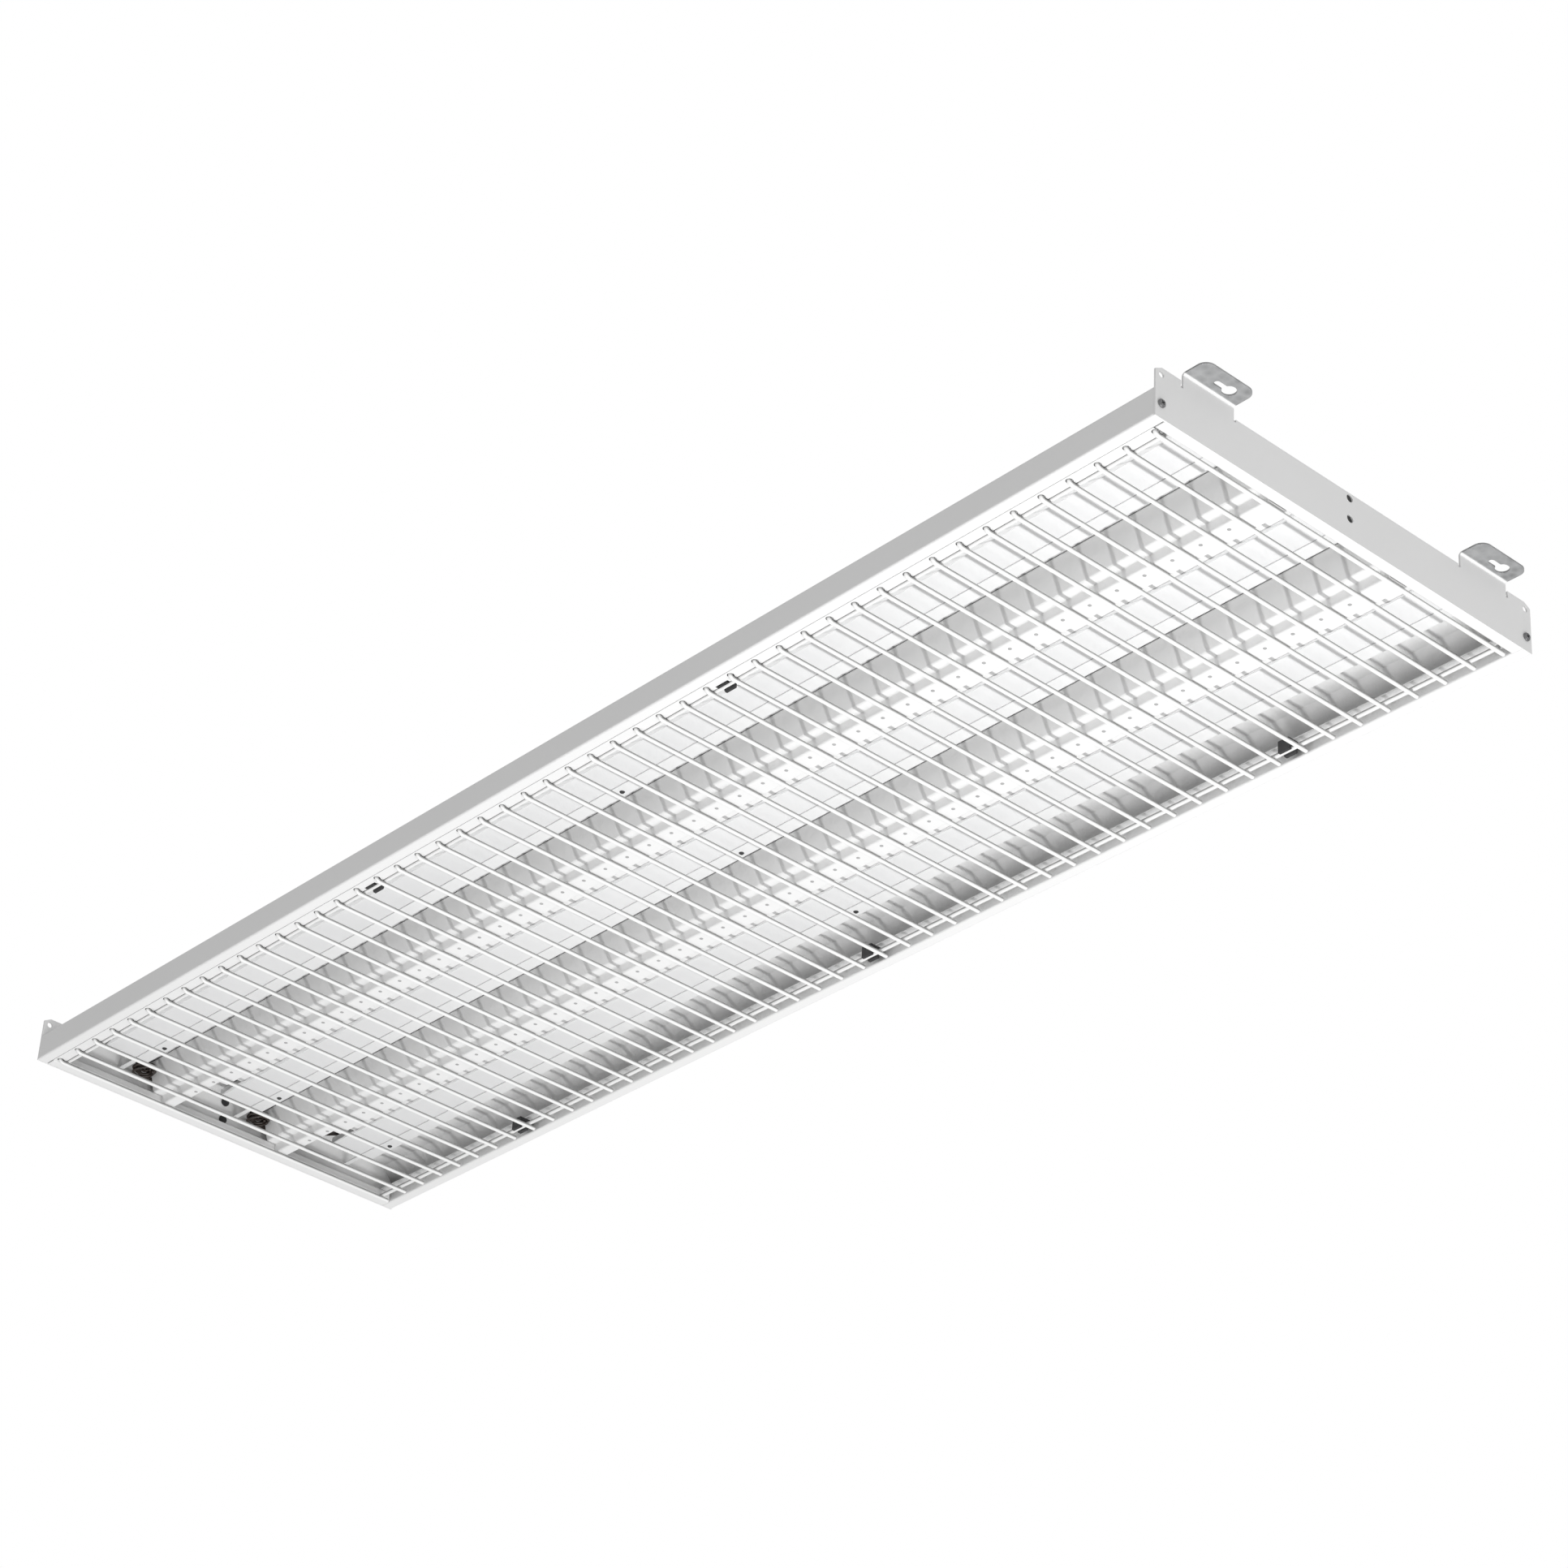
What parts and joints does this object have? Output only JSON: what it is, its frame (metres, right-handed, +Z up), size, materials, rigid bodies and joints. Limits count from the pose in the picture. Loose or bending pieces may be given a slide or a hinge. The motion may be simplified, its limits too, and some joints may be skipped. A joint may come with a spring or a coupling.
{
  "type": "surface-mounted linear led light",
  "caption": "Shallow white ceiling housing with long recessed reflector rows, opal covers, a hinged wire guard and four keyhole mounting ears.",
  "frame": {"origin": "centre of the ceiling plane touched by the four mounting ears", "axes": "+Z up into the ceiling, +X along the housing toward the near end plate, +Y across toward the guard's hinge side"},
  "size_m": [1.548, 0.436, 0.0603],
  "materials": {
    "white_paint": "white powder coat, fine texture, satin",
    "reflector_white": "smooth white coil coat, semi gloss",
    "guard_paint": "white powder coat on drawn wire, semi gloss",
    "zinc_steel": "bright zinc plating",
    "heat_spreader_aluminium": "mill finish",
    "board_white": "white solder mask",
    "chip_yellow": "phosphor-filled resin",
    "opal_plastic": "opal, glossy",
    "cap_plastic": "moulded white",
    "black_plastic": "moulded black",
    "lead_sheath": "dark brown-black cable sheath",
    "driver_case": "white moulded case",
    "terminal_plastic": "moulded pale grey",
    "grommet_rubber": "soft black"
  },
  "bodies": {
    "lamp_body": {"housing_tray": "white_paint", "end_plate_near": "white_paint", "end_plate_far": "white_paint", "corner_brackets": "zinc_steel", "end_plate_screws": "zinc_steel", "hole_blanks": "black_plastic", "mid_rail_latch_side": "white_paint", "mid_rail_hinge_side": "white_paint", "reflector_latch_side": "reflector_white", "reflector_centre": "reflector_white", "reflector_hinge_side": "reflector_white", "reflector_spacers": "zinc_steel", "spacer_screws": "zinc_steel", "heat_spreader_latch_side": "heat_spreader_aluminium", "heat_spreader_centre": "heat_spreader_aluminium", "heat_spreader_hinge_side": "heat_spreader_aluminium", "led_board_latch_side": "board_white", "led_board_centre": "board_white", "led_board_hinge_side": "board_white", "led_chips_latch_side": "chip_yellow", "led_chips_centre": "chip_yellow", "led_chips_hinge_side": "chip_yellow", "opal_cover_latch_side": "opal_plastic", "opal_cover_centre": "opal_plastic", "opal_cover_hinge_side": "opal_plastic", "module_end_caps": "cap_plastic", "cover_rivets": "black_plastic", "led_lead_latch_side": "lead_sheath", "led_lead_centre": "lead_sheath", "led_lead_hinge_side": "lead_sheath", "lead_connectors": "black_plastic", "driver_latch_side": "driver_case", "driver_hinge_side": "driver_case", "driver_screws": "zinc_steel", "terminal_block": "terminal_plastic", "terminal_screws": "zinc_steel", "earth_stud": "zinc_steel", "cable_grommet": "grommet_rubber", "supply_leads": "lead_sheath", "driver_output_leads": "lead_sheath", "hinge_clips": "black_plastic", "latch_clips": "black_plastic", "clip_rivets": "black_plastic"},
    "guard": {"guard_cross_wires": "guard_paint", "guard_hinge_wire": "guard_paint", "guard_latch_wire": "guard_paint"}
  },
  "joints": [
    {"name": "guard_swing", "type": "hinge", "parent": "lamp_body", "child": "guard", "pos_m": [0, 0.1935, -0.05435], "axis": [1, 0, 0], "range_deg": [0, 90]}
  ]
}
